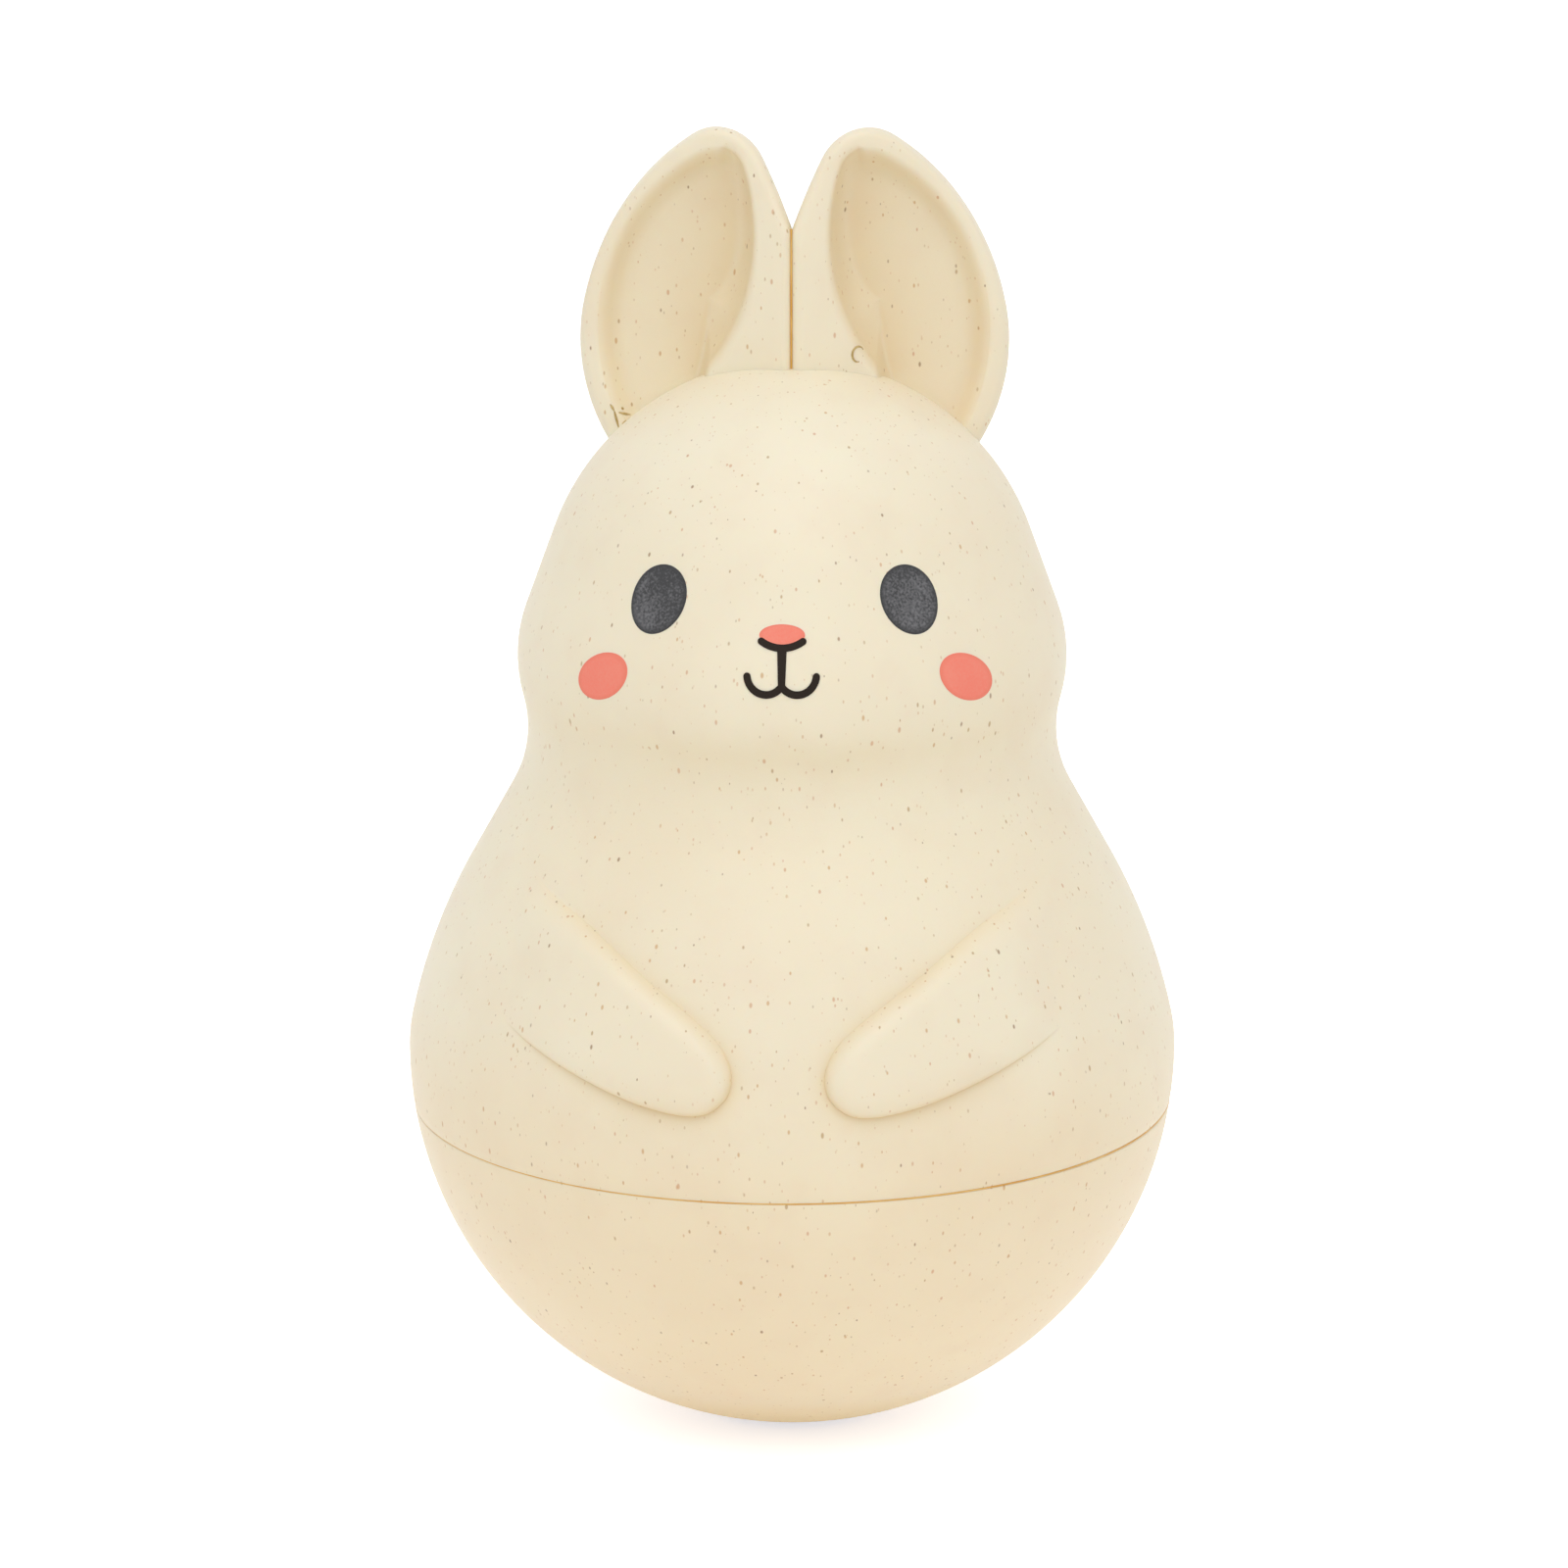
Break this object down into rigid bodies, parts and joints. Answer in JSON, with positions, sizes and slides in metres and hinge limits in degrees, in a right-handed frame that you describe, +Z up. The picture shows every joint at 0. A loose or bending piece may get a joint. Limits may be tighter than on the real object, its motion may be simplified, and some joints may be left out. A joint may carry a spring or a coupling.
{
  "type": "roly poly toy",
  "caption": "Weighted roly poly baby toy shaped as a sitting rabbit, with a round rolling bowl, dished ears, arms in relief, a printed face and a chime with a swinging clapper inside.",
  "frame": {"origin": "centre of the small flat under the bowl, on the surface that the toy stands on", "axes": "+Z up through the middle of the crown, the face looks along -Y, +X to the right as seen from the front"},
  "size_m": [0.095, 0.0955, 0.1615],
  "materials": {
    "straw_plastic": "smooth semi-matte moulding with fine tan and brown plant-fibre flecks",
    "inner_plastic": "plain white moulding",
    "screw_steel": "zinc-plated",
    "rod_steel": "bright drawn",
    "weight_iron": "as cast",
    "clapper_wood": "turned and sanded beech",
    "grey_ink": "printed ink",
    "coral_ink": "printed ink",
    "black_ink": "printed ink"
  },
  "bodies": {
    "toy": {"bottom_bowl": "straw_plastic", "body_shell": "straw_plastic", "left_ear": "straw_plastic", "right_ear": "straw_plastic", "ear_clamp": "inner_plastic", "ear_screws": "screw_steel", "counterweight": "weight_iron", "chime_base": "inner_plastic", "base_screws": "screw_steel", "chime_rod_1": "rod_steel", "chime_rod_2": "rod_steel", "chime_rod_3": "rod_steel", "chime_rod_4": "rod_steel", "chime_bridge": "inner_plastic", "bridge_screws": "screw_steel", "hanger_pin": "rod_steel", "left_eye": "grey_ink", "right_eye": "grey_ink", "left_cheek": "coral_ink", "right_cheek": "coral_ink", "nose": "coral_ink", "mouth": "black_ink"},
    "link": {"clapper_link": "inner_plastic"},
    "clapper": {"clapper_pin": "rod_steel", "clapper_arm": "inner_plastic", "clapper_ball": "clapper_wood"}
  },
  "joints": [
    {"name": "link_swing", "type": "hinge", "parent": "toy", "child": "link", "pos_m": [0, 0, 0.074], "axis": [1, 0, 0], "range_deg": [-15, 15]},
    {"name": "clapper_swing", "type": "hinge", "parent": "link", "child": "clapper", "pos_m": [0, 0, 0.068], "axis": [0, 1, 0], "range_deg": [-19, 19]}
  ]
}
